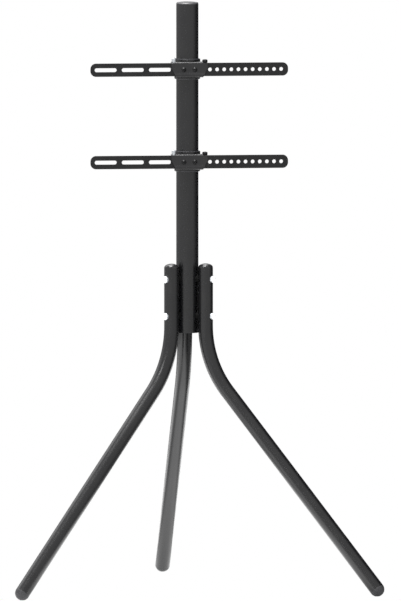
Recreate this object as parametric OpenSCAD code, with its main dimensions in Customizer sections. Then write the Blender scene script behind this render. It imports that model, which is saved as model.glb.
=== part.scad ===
// Tripod floor stand for a flat television: a round column on three bent tube legs,
// and two perforated arms, each on a collar that slides up and down the column and turns on it.
// The stand rests on z = 0 with its footprint centred on x = y = 0, and faces -Y.

/* [Column] */
// Outside diameter of the column tube
column_d = 48; // [40:0.1:60]
// Wall of the column tube
column_wall = 2; // [1.5:0.1:3]
// Height of the column tube's top rim above the floor
column_top_z = 1270; // [1000:5:1600]
// Height of the column tube's bottom rim above the floor
column_bottom_z = 560; // [520:1:590]
// Height of the domed cap above the column's rim
column_cap_h = 5.5; // [4:0.5:10]

/* [Legs] */
// Outside diameter of a leg tube
leg_d = 31.8; // [25:0.1:38]
// Wall of a leg tube
leg_wall = 2; // [1.5:0.1:3]
// Height of a leg tube's top rim above the floor
leg_top_z = 699; // [690:1:730]
// Height at which a leg starts to bend outwards
leg_bend_z = 574; // [540:1:580]
// Radius of the bend, at the tube's centre line
leg_bend_r = 220; // [120:5:300]
// Angle between the sloping part of a leg and the vertical
leg_splay = 40; // [28:1:48]
// Height of the domed cap above a leg's rim
leg_cap_h = 10; // [6:0.5:14]
// How deep the flat under a foot is cut into its round end
foot_flat = 0.6; // [0.3:0.1:1.5]

/* [Leg bolts] */
// Diameter of a leg bolt
leg_bolt_d = 8; // [6:1:8]
// Height of the lower leg bolt above the floor
leg_bolt_z = 595; // [585:1:610]
// Distance between a leg's two bolts
leg_bolt_pitch = 80; // [60:1:82]
// Thickness of the saddle between the column and a leg, along the bolt
saddle_t = 3; // [2.5:0.1:6]

/* [Arms] */
// Length of an arm
arm_len = 430; // [420:1:600]
// Height of an arm
arm_h = 28.6; // [23:0.1:35]
// Thickness of an arm
arm_t = 3; // [2:0.1:5]
// Radius of an arm's corners
arm_corner_r = 12; // [4:0.5:12]
// Height of the upper arm's centre line above the floor
upper_arm_z = 1130; // [1000:1:1160]
// Height of the lower arm's centre line above the floor
lower_arm_z = 930; // [760:1:950]
// Number of slots in an arm's left half
slot_count = 3; // [1:1:3]
// Length of a slot, end to end
slot_len = 48; // [30:1:54]
// Width of a slot
slot_w = 8.5; // [6.5:0.1:10]
// Distance from one slot's centre to the next
slot_pitch = 59; // [58:1:62]
// Distance from the column's centre to the inner slot's centre
slot_first_x = 64; // [62:1:66]
// Number of round holes in an arm's right half
hole_count = 11; // [2:1:11]
// Diameter of a round hole
hole_d = 8.2; // [6.5:0.1:9]
// Distance from one round hole to the next
hole_pitch = 15.5; // [12:0.5:15.5]
// Distance from the column's centre to the inner round hole
hole_first_x = 45; // [44:1:48]
// How far an arm slides to each side of the middle
arm_slide = 15; // [5:1:15]

/* [Collars] */
// Height of a collar
collar_h = 42; // [36:1:60]
// Wall of a collar
collar_wall = 2.7; // [2:0.1:5]
// Wall of the plastic liner inside a collar
liner_wall = 1.2; // [0.8:0.1:2.5]
// Distance from a collar's outside to the face that an arm lies on
seat_depth = 5.3; // [4:0.1:10]
// Half of the width of the seat that an arm lies on
seat_half_w = 30; // [26:1:31]
// Diameter of a collar bolt
collar_bolt_d = 5; // [4:1:5]
// Thickness of a collar's ears, along the bolt
ear_t = 4; // [3:0.5:6]
// Height of a collar's ears
ear_h = 18; // [14:1:24]

/* [Covers] */
// Sheet thickness of a cover
cover_t = 2.2; // [1.5:0.1:3]
// Half of a cover's width along its top
cover_half_w = 39.5; // [38:0.5:44]
// Half of a cover's width along its bottom
cover_foot_half_w = 29.5; // [26:0.5:34]
// Outside radius of a cover's top and bottom bends
cover_bend_r = 4; // [3.5:0.5:6]
// How far a cover's lower lip stands forward
lip_step = 3; // [1:0.5:5]
// Diameter of a cover screw
cover_screw_d = 6; // [4:1:6]
// Distance from the middle to a cover screw
cover_screw_x = 12; // [10:0.5:14]
// Distance from the middle to the lock screw and to the stop pin
lock_x = 34; // [32:0.5:34]
// Diameter of the lock screw's head
lock_head_d = 11.5; // [9:0.5:12]
// Diameter of the stop pin
stop_pin_d = 8.6; // [6:0.2:9]

/* [Hidden] */
$fn = 64;

// Finishes
powder_black = "#2e2e30";
plastic_black = "#1f1f21";
liner_grey = "#4b4b4f";
zinc = "#c9ccd0";
steel_black = "#161617";

// Clearances
seat_gap = 0.05;   // between fixed pieces that lie on each other
run_gap = 0.05;    // between a shaft or tube and what turns or slides on it
thread_gap = 0.05; // between a screw and its thread
plug_gap = 0.1;    // between a plug and the tube that it closes
slide_gap = 0.1;   // between an arm and the faces that it slides along
bolt_play = 0.4;   // between a bolt and the hole that it passes through
past = 1;          // how far a cut runs past the face that it leaves

// Tubes
column_r = column_d / 2;
column_ri = column_r - column_wall;
leg_r = leg_d / 2;
leg_ri = leg_r - leg_wall;
plug_wall = 2.5;
plug_len = 18;
bottom_flange_t = 2;
column_cap_corner_r = 0.65 * column_cap_h;
leg_cap_corner_r = 0.8 * leg_cap_h;
arc_steps = 10;

// A leg's centre line, in the upright plane through the column's axis
leg_x = column_r + saddle_t + leg_r;
bend_end_x = leg_x + leg_bend_r * (1 - cos(leg_splay));
bend_end_z = leg_bend_z - leg_bend_r * sin(leg_splay);
foot_z = leg_r - foot_flat;
slope_len = (bend_end_z - foot_z) / cos(leg_splay);
foot_x = bend_end_x + slope_len * sin(leg_splay);
bend_thin = 0.1; // how much bending draws the tube in, all round
bend_lap = 0.3;  // degrees by which the bend runs into the straight lengths

// Directions of the legs around the column, and the column's place over the footprint
left_dir = 210;
right_dir = 330;
rear_dir = 90;
leg_dirs = [left_dir, right_dir, rear_dir];
axis_y = -foot_x / 4;

// Leg bolts
leg_bolt_zs = [leg_bolt_z, leg_bolt_z + leg_bolt_pitch];
leg_bolt_hole_r = leg_bolt_d / 2 + bolt_play;
leg_head_r = leg_bolt_d * 0.875;
leg_head_h = leg_bolt_d * 0.55;
leg_socket_af = leg_bolt_d * 0.625;
washer_r = leg_head_r + 1;
washer_t = 1.2;
head_seat_x = leg_x + leg_r + washer_t;
saddle_r = 9;
sleeve_r = leg_bolt_hole_r + 2;
leg_cap_plug_len = min(plug_len, leg_top_z - leg_bolt_zs[1] - sleeve_r - 0.8); // ends above the upper sleeve
insert_r = 5.4;
insert_len = 11;
bolt_step = 5; // between one stock bolt length and the next
leg_bolt_len = bolt_step * floor((head_seat_x - column_r + insert_len) / bolt_step);

// Collars, in a frame on the column's axis at the arm's height, with the front towards -Y
liner_ri = column_r + run_gap;
liner_ro = liner_ri + liner_wall;
liner_flange_r = liner_ro + 1.4;
liner_flange_t = 1;
liner_slit = 2;
collar_ri = liner_ro + run_gap;
collar_ro = collar_ri + collar_wall;
collar_split = 1.6;
collar_bolt_r = collar_bolt_d / 2;
collar_nut_af = collar_bolt_d * 1.6;
collar_nut_h = collar_bolt_d * 0.8;
collar_head_r = collar_bolt_d * 0.85;
collar_head_h = collar_bolt_d;
ear_bolt_x = collar_ro + collar_nut_af / 2 - 0.2;
ear_x = ear_bolt_x + collar_nut_af / 2 + 0.1;
ear_face_y = collar_split / 2 + ear_t;

// Arm, seat and cover, as distances forward of the column's axis
seat_face = collar_ro + seat_depth;
arm_back = seat_face + slide_gap;
arm_mid = arm_back + arm_t / 2;
cover_back = arm_back + arm_t + slide_gap;
cover_face = cover_back + cover_t;
lip_back = cover_back + lip_step;
lip_face = cover_face + lip_step;
flange_end = collar_ro + 1;
arm_half_gap = 0.3;
seat_half_h = arm_h / 2 + arm_half_gap;
cover_half_h = seat_half_h + cover_t;
cover_inner_r = 0.4;
cover_waist_z = arm_h * 0.16;
joggle_top_z = -arm_h * 0.18;
joggle_h = 4.3;
joggle_bite = cover_t * tan(atan(lip_step / joggle_h) / 2);
cover_screw_r = cover_screw_d / 2;
cover_head_r = cover_screw_d * 0.875;
cover_head_h = cover_screw_d * 0.55;
cover_socket_af = cover_screw_d * 0.66;
cover_thread_len = 7;
track_w = cover_screw_d + 0.6;
track_half_len = cover_screw_x + cover_screw_r + arm_slide + 0.5;
lock_screw_r = 3;
lock_head_h = 5.6;
lock_socket_af = 4;
stop_pin_h = 9.5;
stop_pin_shank_r = stop_pin_d / 2 - 1;

// Points along an arc
function arc(cx, cy, r, a0, a1) =
    [for (i = [0:arc_steps]) let (a = a0 + (a1 - a0) * i / arc_steps) [cx + r * cos(a), cy + r * sin(a)]];

// Radius of a dome's crown, which runs smoothly into a corner of radius c
function crown_r(r, h, c) = (pow(r - c, 2) + h * h - c * c) / (2 * (h - c));

// Half of a dome's outline: a corner of radius c at the rim, then the crown
function dome_half(r, h, c) =
    let (crown = crown_r(r, h, c))
    let (meet = atan2(crown - h, r - c))
    let (top = [for (p = arc(0, h - crown, crown, meet, 90)) if (p[1] < h) p])
    concat([[0, 0]], arc(r - c, 0, c, 0, meet), top, [[0, h]]);

// A dome with its flat side down on z = 0
module dome(r, h, c) {
    rotate_extrude()
        polygon(dome_half(r, h, c));
}

// A screw head on z = 0 with a hexagon socket in its top
module domed_head(r, h, socket_af) {
    difference() {
        dome(r, h, h * 0.45);
        translate([0, 0, h * 0.45])
            cylinder(d = socket_af / cos(30), h = h, $fn = 6);
    }
}

// An open-ended plug that fits a tube of inner radius r, hanging down from z = 0
module plug(r, length) {
    translate([0, 0, -length])
        difference() {
            cylinder(r = r - plug_gap, h = length);
            translate([0, 0, -past])
                cylinder(r = r - plug_gap - plug_wall, h = length);
        }
}

module at_column() {
    translate([0, axis_y, 0])
        children();
}

// Turns a leg drawn along +X into its direction around the column
module on_leg(direction) {
    at_column()
        rotate([0, 0, direction])
            children();
}

// Points +Z along +X at the height of each of a leg's two bolts
module at_leg_bolts() {
    for (z = leg_bolt_zs)
        translate([0, 0, z])
            rotate([0, 90, 0])
                children();
}

module at_collar(z) {
    at_column()
        translate([0, 0, z])
            children();
}

// Turns +Z to the front, at a distance x to each side
module at_front_pair(x, front) {
    for (side = [-1, 1])
        translate([side * x, -front, 0])
            rotate([90, 0, 0])
                children();
}

module column_tube() {
    color(powder_black)
        at_column()
            difference() {
                translate([0, 0, column_bottom_z])
                    cylinder(r = column_r, h = column_top_z - column_bottom_z);
                translate([0, 0, column_bottom_z - past])
                    cylinder(r = column_ri, h = column_top_z - column_bottom_z + 2 * past);
                for (direction = leg_dirs)
                    rotate([0, 0, direction])
                        at_leg_bolts()
                            cylinder(r = insert_r + seat_gap, h = column_d);
            }
}

module column_top_cap() {
    color(plastic_black)
        at_column()
            translate([0, 0, column_top_z]) {
                dome(column_r, column_cap_h, column_cap_corner_r);
                plug(column_ri, plug_len);
            }
}

module column_bottom_plug() {
    color(plastic_black)
        at_column()
            translate([0, 0, column_bottom_z])
                mirror([0, 0, 1]) {
                    cylinder(r = column_r, h = bottom_flange_t);
                    plug(column_ri, plug_len);
                }
}

module column_thread_inserts() {
    color(zinc)
        at_column()
            intersection() {
                for (direction = leg_dirs)
                    rotate([0, 0, direction])
                        at_leg_bolts()
                            translate([0, 0, column_r - insert_len])
                                difference() {
                                    cylinder(r = insert_r, h = insert_len);
                                    translate([0, 0, -past])
                                        cylinder(r = leg_bolt_d / 2 + thread_gap, h = insert_len + 2 * past);
                                }
                translate([0, 0, column_bottom_z])
                    cylinder(r = column_r, h = column_top_z - column_bottom_z);
            }
}

// A solid rod of diameter d along a leg's centre line, longer at both ends by extra
module leg_rod(d, extra) {
    translate([leg_x, 0, leg_bend_z])
        cylinder(d = d, h = leg_top_z - leg_bend_z + extra);
    translate([leg_x + leg_bend_r, 0, leg_bend_z])
        rotate([90, 0, 0])
            rotate([0, 0, 180])
                rotate([0, 0, -bend_lap])
                    rotate_extrude(angle = leg_splay + 2 * bend_lap)
                        translate([leg_bend_r, 0])
                            circle(d = d - 2 * bend_thin);
    translate([bend_end_x, 0, bend_end_z])
        rotate([0, 180 - leg_splay, 0])
            cylinder(d = d, h = slope_len + extra);
}

module leg_tube() {
    color(powder_black)
        difference() {
            leg_rod(leg_d, 0);
            leg_rod(2 * leg_ri, past);
            at_leg_bolts()
                translate([0, 0, leg_x - leg_d])
                    cylinder(r = leg_bolt_hole_r, h = 2 * leg_d);
        }
}

module leg_top_cap() {
    color(plastic_black)
        translate([leg_x, 0, leg_top_z]) {
            dome(leg_r, leg_cap_h, leg_cap_corner_r);
            plug(leg_ri, leg_cap_plug_len);
        }
}

module leg_foot() {
    color(plastic_black)
        intersection() {
            translate([foot_x, 0, foot_z])
                rotate([0, 180 - leg_splay, 0]) {
                    intersection() {
                        sphere(r = leg_r);
                        cylinder(r = leg_d, h = leg_d);
                    }
                    plug(leg_ri, plug_len);
                }
            translate([foot_x - leg_d * 2, -leg_d, 0])
                cube([leg_d * 4, leg_d * 2, leg_d * 2]);
        }
}

module leg_bolts() {
    color(zinc)
        at_leg_bolts()
            translate([0, 0, head_seat_x]) {
                domed_head(leg_head_r, leg_head_h, leg_socket_af);
                translate([0, 0, -leg_bolt_len])
                    cylinder(d = leg_bolt_d, h = leg_bolt_len);
            }
}

// Curved washers that bed the bolt heads on the outside of a leg
module leg_washers() {
    washer_depth = leg_r - sqrt(leg_r * leg_r - washer_r * washer_r) + washer_t;
    color(zinc)
        difference() {
            at_leg_bolts()
                translate([0, 0, head_seat_x - washer_depth])
                    difference() {
                        cylinder(r = washer_r, h = washer_depth);
                        translate([0, 0, -past])
                            cylinder(r = leg_bolt_hole_r, h = washer_depth + 2 * past);
                    }
            translate([leg_x, 0, leg_bend_z])
                cylinder(r = leg_r + seat_gap, h = leg_top_z - leg_bend_z);
        }
}

// Saddles that space a leg from the column, hollowed to both tubes
module leg_saddles() {
    color(plastic_black)
        difference() {
            at_leg_bolts()
                translate([0, 0, column_r / 2])
                    difference() {
                        cylinder(r = saddle_r, h = leg_x - column_r / 2);
                        translate([0, 0, -past])
                            cylinder(r = leg_bolt_hole_r, h = leg_x);
                    }
            translate([0, 0, column_bottom_z])
                cylinder(r = column_r + seat_gap, h = column_top_z - column_bottom_z);
            translate([leg_x, 0, leg_bend_z])
                cylinder(r = leg_r + seat_gap, h = leg_top_z - leg_bend_z);
        }
}

// Spacer tubes inside a leg, which keep the bolts from crushing it
module leg_sleeves() {
    color(zinc)
        intersection() {
            at_leg_bolts()
                translate([0, 0, leg_x - leg_r])
                    difference() {
                        cylinder(r = sleeve_r, h = leg_d);
                        translate([0, 0, -past])
                            cylinder(r = leg_bolt_hole_r, h = leg_d + 2 * past);
                    }
            translate([leg_x, 0, leg_bend_z])
                cylinder(r = leg_ri - seat_gap, h = leg_top_z - leg_bend_z);
        }
}

// Split sleeve that lets a collar slide and turn on the column without scratching it
module liner() {
    half_len = collar_h / 2 + slide_gap;
    color(liner_grey)
        difference() {
            union() {
                translate([0, 0, -half_len])
                    cylinder(r = liner_ro, h = 2 * half_len);
                for (z = [-half_len - liner_flange_t, half_len])
                    translate([0, 0, z])
                        cylinder(r = liner_flange_r, h = liner_flange_t);
            }
            translate([0, 0, -collar_h])
                cylinder(r = liner_ri, h = 2 * collar_h);
            translate([-liner_slit / 2, 0, -collar_h])
                cube([liner_slit, column_d, 2 * collar_h]);
        }
}

// The space behind (or, mirrored, before) the joint between a collar's two halves
module behind_split() {
    translate([-column_d, collar_split / 2, -collar_h])
        cube([2 * column_d, 2 * column_d, 2 * collar_h]);
}

module ears() {
    translate([-ear_x, collar_split / 2, -ear_h / 2])
        cube([2 * ear_x, ear_t, ear_h]);
}

module collar_ring() {
    translate([0, 0, -collar_h / 2])
        cylinder(r = collar_ro, h = collar_h);
}

module collar_bore() {
    translate([0, 0, -collar_h])
        cylinder(r = collar_ri, h = 2 * collar_h);
}

module collar_bolt_holes() {
    at_front_pair(ear_bolt_x, -ear_face_y - past)
        cylinder(r = collar_bolt_r + bolt_play / 2, h = 2 * (ear_face_y + past));
}

// Front half of a collar, with the seat that the arm lies on
module collar_front() {
    color(powder_black)
        difference() {
            union() {
                mirror([0, 1, 0])
                    intersection() {
                        collar_ring();
                        behind_split();
                    }
                mirror([0, 1, 0])
                    ears();
                translate([-seat_half_w, -seat_face, -seat_half_h])
                    cube([2 * seat_half_w, seat_face - collar_ri / 2, 2 * seat_half_h]);
            }
            collar_bore();
            collar_bolt_holes();
            at_front_pair(cover_screw_x, seat_face - cover_thread_len)
                cylinder(r = cover_screw_r + thread_gap, h = cover_thread_len + past);
        }
}

module collar_rear() {
    color(powder_black)
        difference() {
            union() {
                intersection() {
                    collar_ring();
                    behind_split();
                }
                ears();
            }
            collar_bore();
            collar_bolt_holes();
        }
}

// Bolts that pull a collar's halves together, with their heads at the back
module collar_bolts() {
    shank_len = 2 * ear_face_y + collar_nut_h + 1;
    color(zinc)
        at_front_pair(ear_bolt_x, -ear_face_y) {
            cylinder(r = collar_bolt_r, h = shank_len);
            mirror([0, 0, 1])
                difference() {
                    cylinder(r = collar_head_r, h = collar_head_h);
                    translate([0, 0, collar_head_h / 2])
                        cylinder(d = collar_bolt_d * 0.8 / cos(30), h = collar_head_h, $fn = 6);
                }
        }
}

module collar_nuts() {
    color(zinc)
        at_front_pair(ear_bolt_x, ear_face_y)
            difference() {
                rotate([0, 0, 30])
                    cylinder(d = collar_nut_af / cos(30), h = collar_nut_h, $fn = 6);
                translate([0, 0, -past])
                    cylinder(r = collar_bolt_r + thread_gap, h = collar_nut_h + 2 * past);
            }
}

// Section through a cover, as distance forward and height: top flange, face, lip, bottom flange
cover_section = concat(
    [[flange_end, cover_half_h]],
    arc(cover_face - cover_bend_r, cover_half_h - cover_bend_r, cover_bend_r, 90, 0),
    [[cover_face, joggle_top_z], [lip_face, joggle_top_z - joggle_h]],
    arc(lip_face - cover_bend_r, cover_bend_r - cover_half_h, cover_bend_r, 0, -90),
    [[flange_end, -cover_half_h], [flange_end, -seat_half_h]],
    arc(lip_back - cover_inner_r, cover_inner_r - seat_half_h, cover_inner_r, -90, 0),
    [[lip_back, joggle_top_z - joggle_h - joggle_bite], [cover_back, joggle_top_z - joggle_bite]],
    arc(cover_back - cover_inner_r, seat_half_h - cover_inner_r, cover_inner_r, 0, 90),
    [[flange_end, seat_half_h]]);

// Front outline of a cover, which narrows towards its bottom
cover_outline = [[-cover_half_w, cover_half_h], [cover_half_w, cover_half_h],
    [cover_half_w, cover_waist_z], [cover_foot_half_w, -cover_half_h],
    [-cover_foot_half_w, -cover_half_h], [-cover_half_w, cover_waist_z]];

// Bent sheet that holds an arm in its seat
module cover() {
    color(powder_black)
        difference() {
            intersection() {
                rotate([0, 0, -90])
                    rotate([90, 0, 0])
                        linear_extrude(height = 2 * cover_half_w, center = true)
                            polygon(cover_section);
                rotate([90, 0, 0])
                    linear_extrude(height = 2 * lip_face)
                        polygon(cover_outline);
            }
            at_front_pair(cover_screw_x, cover_back - past)
                cylinder(r = cover_screw_r + bolt_play / 2, h = cover_t + 2 * past);
            translate([lock_x, -arm_mid, seat_half_h - past])
                cylinder(r = lock_screw_r + run_gap, h = cover_t + 2 * past);
            translate([-lock_x, -arm_mid, seat_half_h - past])
                cylinder(r = stop_pin_shank_r + seat_gap, h = cover_t + 2 * past);
        }
}

module cover_screws() {
    color(steel_black)
        at_front_pair(cover_screw_x, cover_face) {
            domed_head(cover_head_r, cover_head_h, cover_socket_af);
            translate([0, 0, seat_face - cover_thread_len + past - cover_face])
                cylinder(r = cover_screw_r, h = cover_face - seat_face + cover_thread_len - past);
        }
}

// Slot of width w between two x positions, cut through an arm
module arm_slot(x0, x1, w) {
    translate([x0 + w / 2, 0])
        circle(d = w);
    translate([x1 - w / 2, 0])
        circle(d = w);
    translate([x0 + w / 2, -w / 2])
        square([x1 - x0 - w, w]);
}

module arm() {
    half_l = arm_len / 2;
    half_h = arm_h / 2;
    color(powder_black)
        translate([0, -arm_back, 0])
            rotate([90, 0, 0])
                linear_extrude(height = arm_t)
                    difference() {
                        union() {
                            for (sx = [-1, 1], sz = [-1, 1])
                                translate([sx * (half_l - arm_corner_r), sz * (half_h - arm_corner_r)])
                                    circle(r = arm_corner_r);
                            translate([-half_l, arm_corner_r - half_h])
                                square([arm_len, arm_h - 2 * arm_corner_r]);
                            translate([arm_corner_r - half_l, -half_h])
                                square([arm_len - 2 * arm_corner_r, arm_h]);
                        }
                        arm_slot(-track_half_len, track_half_len, track_w);
                        for (i = [0:slot_count - 1])
                            let (x = -slot_first_x - i * slot_pitch)
                                arm_slot(x - slot_len / 2, x + slot_len / 2, slot_w);
                        for (i = [0:hole_count - 1])
                            translate([hole_first_x + i * hole_pitch, 0])
                                circle(d = hole_d);
                    }
}

// Screw through a cover's top flange that bears on the arm's edge
module lock_screw() {
    tip_z = arm_h / 2 + slide_gap;
    color(steel_black)
        translate([lock_x, -arm_mid, 0]) {
            translate([0, 0, tip_z])
                cylinder(r = lock_screw_r, h = cover_half_h + slide_gap - tip_z);
            translate([0, 0, cover_half_h + slide_gap])
                domed_head(lock_head_d / 2, lock_head_h, lock_socket_af);
        }
}

// Pin riveted into a cover's top flange, opposite the lock screw
module stop_pin() {
    color(zinc)
        translate([-lock_x, -arm_mid, 0]) {
            translate([0, 0, seat_half_h])
                cylinder(r = stop_pin_shank_r, h = cover_t);
            translate([0, 0, cover_half_h])
                cylinder(d = stop_pin_d, h = stop_pin_h - stop_pin_d / 4);
            translate([0, 0, cover_half_h + stop_pin_h - stop_pin_d / 4])
                dome(stop_pin_d / 2, stop_pin_d / 4, stop_pin_d / 8);
        }
}

column_tube();
column_top_cap();
column_bottom_plug();
column_thread_inserts();
on_leg(left_dir) leg_tube();  // left_leg_tube
on_leg(left_dir) leg_top_cap();  // left_leg_top_cap
on_leg(left_dir) leg_foot();  // left_leg_foot
on_leg(left_dir) leg_bolts();  // left_leg_bolts
on_leg(left_dir) leg_washers();  // left_leg_washers
on_leg(left_dir) leg_saddles();  // left_leg_saddles
on_leg(left_dir) leg_sleeves();  // left_leg_sleeves
on_leg(right_dir) leg_tube();  // right_leg_tube
on_leg(right_dir) leg_top_cap();  // right_leg_top_cap
on_leg(right_dir) leg_foot();  // right_leg_foot
on_leg(right_dir) leg_bolts();  // right_leg_bolts
on_leg(right_dir) leg_washers();  // right_leg_washers
on_leg(right_dir) leg_saddles();  // right_leg_saddles
on_leg(right_dir) leg_sleeves();  // right_leg_sleeves
on_leg(rear_dir) leg_tube();  // rear_leg_tube
on_leg(rear_dir) leg_top_cap();  // rear_leg_top_cap
on_leg(rear_dir) leg_foot();  // rear_leg_foot
on_leg(rear_dir) leg_bolts();  // rear_leg_bolts
on_leg(rear_dir) leg_washers();  // rear_leg_washers
on_leg(rear_dir) leg_saddles();  // rear_leg_saddles
on_leg(rear_dir) leg_sleeves();  // rear_leg_sleeves
at_collar(upper_arm_z) liner();  // upper_liner
at_collar(upper_arm_z) collar_front();  // upper_collar_front
at_collar(upper_arm_z) collar_rear();  // upper_collar_rear
at_collar(upper_arm_z) collar_bolts();  // upper_collar_bolts
at_collar(upper_arm_z) collar_nuts();  // upper_collar_nuts
at_collar(upper_arm_z) cover();  // upper_cover
at_collar(upper_arm_z) cover_screws();  // upper_cover_screws
at_collar(upper_arm_z) arm();  // upper_arm
at_collar(upper_arm_z) lock_screw();  // upper_lock_screw
at_collar(upper_arm_z) stop_pin();  // upper_stop_pin
at_collar(lower_arm_z) liner();  // lower_liner
at_collar(lower_arm_z) collar_front();  // lower_collar_front
at_collar(lower_arm_z) collar_rear();  // lower_collar_rear
at_collar(lower_arm_z) collar_bolts();  // lower_collar_bolts
at_collar(lower_arm_z) collar_nuts();  // lower_collar_nuts
at_collar(lower_arm_z) cover();  // lower_cover
at_collar(lower_arm_z) cover_screws();  // lower_cover_screws
at_collar(lower_arm_z) arm();  // lower_arm
at_collar(lower_arm_z) lock_screw();  // lower_lock_screw
at_collar(lower_arm_z) stop_pin();  // lower_stop_pin
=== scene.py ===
# %% [markdown]
# # A tripod floor stand for a flat television
# The stand is a round steel column on three bent tube legs, with two perforated arms. Each arm sits
# in a clamp that slides up and down the column and turns on it. Everything that carries load is black
# powder-coated steel, the ends of the tubes are closed by black plastic caps, and the fasteners are
# zinc-plated or blackened. The part's solids are loaded as a fixed frame that gives every place and
# size, and the visible pieces are built around it.

# %% Load the frame
import math

import bmesh
import bpy
from mathutils import Matrix, Vector


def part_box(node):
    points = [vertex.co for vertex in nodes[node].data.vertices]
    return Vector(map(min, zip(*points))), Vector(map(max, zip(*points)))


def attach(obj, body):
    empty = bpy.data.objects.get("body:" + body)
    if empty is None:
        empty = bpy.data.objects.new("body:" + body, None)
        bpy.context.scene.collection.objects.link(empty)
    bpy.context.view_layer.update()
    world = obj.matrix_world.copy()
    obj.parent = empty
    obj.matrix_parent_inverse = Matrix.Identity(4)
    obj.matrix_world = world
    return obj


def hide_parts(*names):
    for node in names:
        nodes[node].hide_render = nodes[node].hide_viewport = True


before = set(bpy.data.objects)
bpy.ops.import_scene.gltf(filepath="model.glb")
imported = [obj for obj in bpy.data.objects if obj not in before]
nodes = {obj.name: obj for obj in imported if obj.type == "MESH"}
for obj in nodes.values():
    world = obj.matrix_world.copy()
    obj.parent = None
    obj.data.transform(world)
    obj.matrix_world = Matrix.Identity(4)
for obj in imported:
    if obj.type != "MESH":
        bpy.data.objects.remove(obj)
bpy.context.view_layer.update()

# %% [markdown]
# ## Units, colours and nodes
# Blender works in metres and a workshop drawing in millimetres, so sizes are written in millimetres
# and turned once. Colours are written as the screen values that a paint chart gives, and one function
# turns them to the linear values that light is added up in. One small function adds a node with its
# settings and its links, for materials and for geometry alike.

# %% Units, colours and nodes
MM = 0.001
LEVELS = ("upper", "lower")
SIDES = ("left", "right", "rear")


def linear(code):
    """A screen colour such as #2e2e30 as linear red, green, blue and alpha."""
    parts = [int(code[i:i + 2], 16) / 255 for i in (1, 3, 5)]
    return [p / 12.92 if p <= 0.04045 else ((p + 0.055) / 1.055) ** 2.4 for p in parts] + [1]


def add_node(tree, kind, links=None, **settings):
    """Adds a node. Links maps an input to another node's output or to a plain value."""
    node = tree.nodes.new(kind)
    for name, value in settings.items():
        setattr(node, name, value)
    for socket, source in (links or {}).items():
        if isinstance(source, bpy.types.NodeSocket):
            tree.links.new(source, node.inputs[socket])
        else:
            node.inputs[socket].default_value = source
    return node


print("mid grey is", round(linear("#808080")[0], 3), "in linear light")

# %% [markdown]
# ## Finishes
# Each finish starts from what the real surface is. Powder coat is a polyester skin about 80 microns
# thick, baked on: it is smooth to the eye, but it reflects through a fine orange peel. Its colour
# could be one flat black, but a real coat varies a little in colour and gloss with its thickness, so
# two noises steer those, and a third one bends the normal. The other finishes are made the same way,
# by one function that takes the size of each pattern in millimetres.

# %% A function for a finish
def finish(name, dark, light, gloss, patch_mm, grain_mm, grain_depth_mm, **settings):
    """A material whose colour and gloss drift over patches, with a fine grain in its surface."""
    material = bpy.data.materials.new(name)
    material.use_nodes = True
    tree = material.node_tree
    tree.nodes.clear()
    place = add_node(tree, "ShaderNodeTexCoord").outputs["Object"]
    patches = add_node(tree, "ShaderNodeTexNoise", {
        "Vector": place, "Scale": 1 / (patch_mm * MM), "Detail": 3.0, "Roughness": 0.6})
    tint = add_node(tree, "ShaderNodeValToRGB", {"Fac": patches.outputs["Fac"]})
    tint.color_ramp.elements[0].position, tint.color_ramp.elements[1].position = 0.3, 0.7
    tint.color_ramp.elements[0].color, tint.color_ramp.elements[1].color = linear(dark), linear(light)
    rough = add_node(tree, "ShaderNodeMapRange", {
        "Value": patches.outputs["Fac"], "From Min": 0.3, "From Max": 0.7,
        "To Min": gloss[0], "To Max": gloss[1]})
    grain = add_node(tree, "ShaderNodeTexNoise", {
        "Vector": place, "Scale": 1 / (grain_mm * MM), "Detail": 2.0, "Roughness": 0.5})
    bump = add_node(tree, "ShaderNodeBump", {
        "Height": grain.outputs["Fac"], "Strength": 1.0, "Distance": grain_depth_mm * MM})
    shader = add_node(tree, "ShaderNodeBsdfPrincipled", {
        "Base Color": tint.outputs["Color"], "Roughness": rough.outputs["Result"],
        "Normal": bump.outputs["Normal"], **settings})
    add_node(tree, "ShaderNodeOutputMaterial", {"Surface": shader.outputs["BSDF"]})
    return material


# %% The stand's finishes
# Black polyester powder coat: satin, with an orange peel about as fine as a pinhead.
powder_coat = finish("powder_coated_steel", "#08080a", "#0c0c0d", (0.24, 0.31), 45, 1.4, 0.006)
# Injection-moulded black polyethylene, polished by its mould: the legs' caps and the column's plug.
cap_plastic = finish("moulded_polyethylene_cap", "#0d0d0e", "#131314", (0.16, 0.22), 20, 2.2, 0.008)
# Moulded dark grey thermoplastic rubber: the feet, dull so that they grip.
foot_plastic = finish("moulded_rubber_foot", "#1c1c1e", "#252527", (0.42, 0.55), 12, 0.9, 0.02)
# The arms' flat strip takes a darker, duller copy of the coat, which reflects less, so that the arms come
# out darker than the column.
arm_coat = finish("powder_coated_strip", "#070708", "#0c0c0d", (0.40, 0.48), 45, 1.4, 0.006,
                  **{"Specular IOR Level": 0.3})
# The column's cap takes a lighter grey copy of the caps' plastic, with a satin top that spreads the light
# of the lamps: the lighter grey is a painted highlight for the light on its top.
cap_plastic_with_painted_highlight = finish("satin_polyethylene_cap", "#1c1c1e", "#242427", (0.44, 0.52), 20, 2.2, 0.008,
                   **{"Specular IOR Level": 0.9})
# Saddles of soft black polyethylene, dull from the mould, in an almost pure black that is painted shade:
# hardly any light gets between the tubes.
saddle_plastic_painted_shade = finish("dull_polyethylene_saddle", "#020202", "#040404", (0.6, 0.7), 12, 1.5, 0.01,
                        **{"Specular IOR Level": 0.1})
# Natural-black nylon, waxy and a little lighter than the coat: the liners that slide.
liner_plastic = finish("nylon_liner", "#2c2c2f", "#36363a", (0.35, 0.45), 15, 1.1, 0.01)
# Bright zinc plate with a clear passivation: bolts and nuts. It is only half metal: its near-white matt
# part is a painted reflection of the white room, and the metal part reflects for real.
zinc_plate = finish("zinc_plated_steel", "#eceef0", "#f8f8f8", (0.34, 0.44), 4, 0.7, 0.004, Metallic=0.55)
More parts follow.
